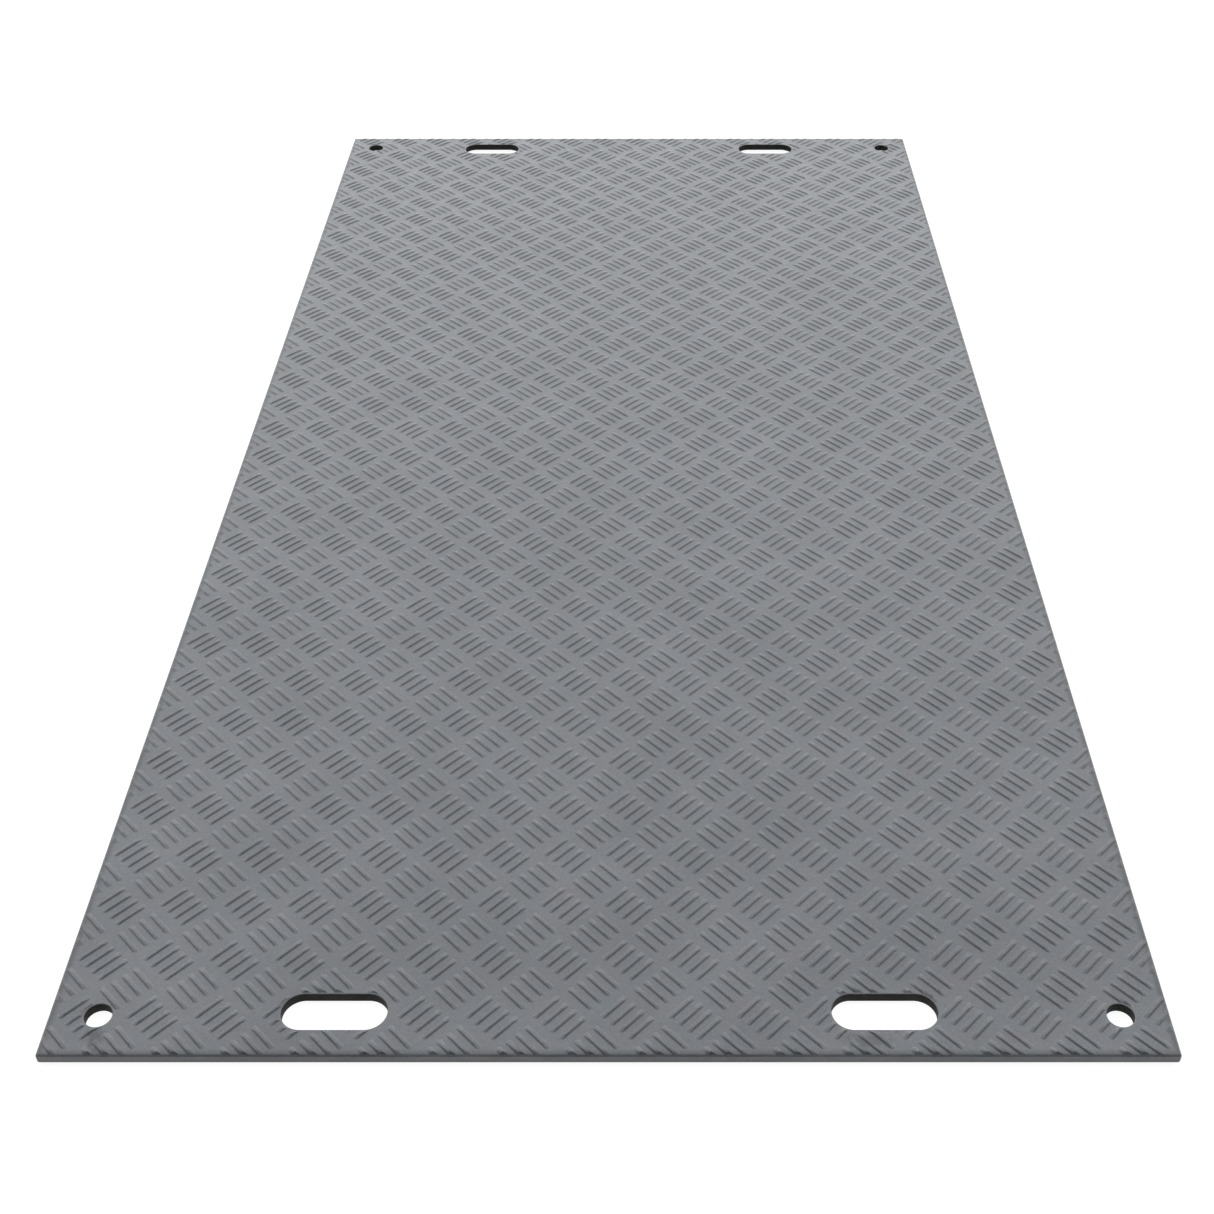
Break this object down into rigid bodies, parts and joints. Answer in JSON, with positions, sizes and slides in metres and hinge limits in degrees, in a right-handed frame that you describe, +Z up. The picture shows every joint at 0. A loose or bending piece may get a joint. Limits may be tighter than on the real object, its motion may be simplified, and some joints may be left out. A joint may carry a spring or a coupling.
{
  "type": "ground protection mat",
  "caption": "Rectangular moulded plastic ground protection mat with a raised bar tread on both faces, hand slots at the short ends and round joining holes at the corners.",
  "frame": {"origin": "centre of the underside, on the crowns that the mat lies on", "axes": "+Y along the mat's long side, +X along its short side, +Z up out of the deck"},
  "size_m": [1.22, 2.44, 0.0157],
  "materials": {
    "mat_polyethylene": "satin moulded polyethylene, lightly scuffed"
  },
  "bodies": {
    "root": {"mat_sheet": "mat_polyethylene"}
  },
  "joints": []
}
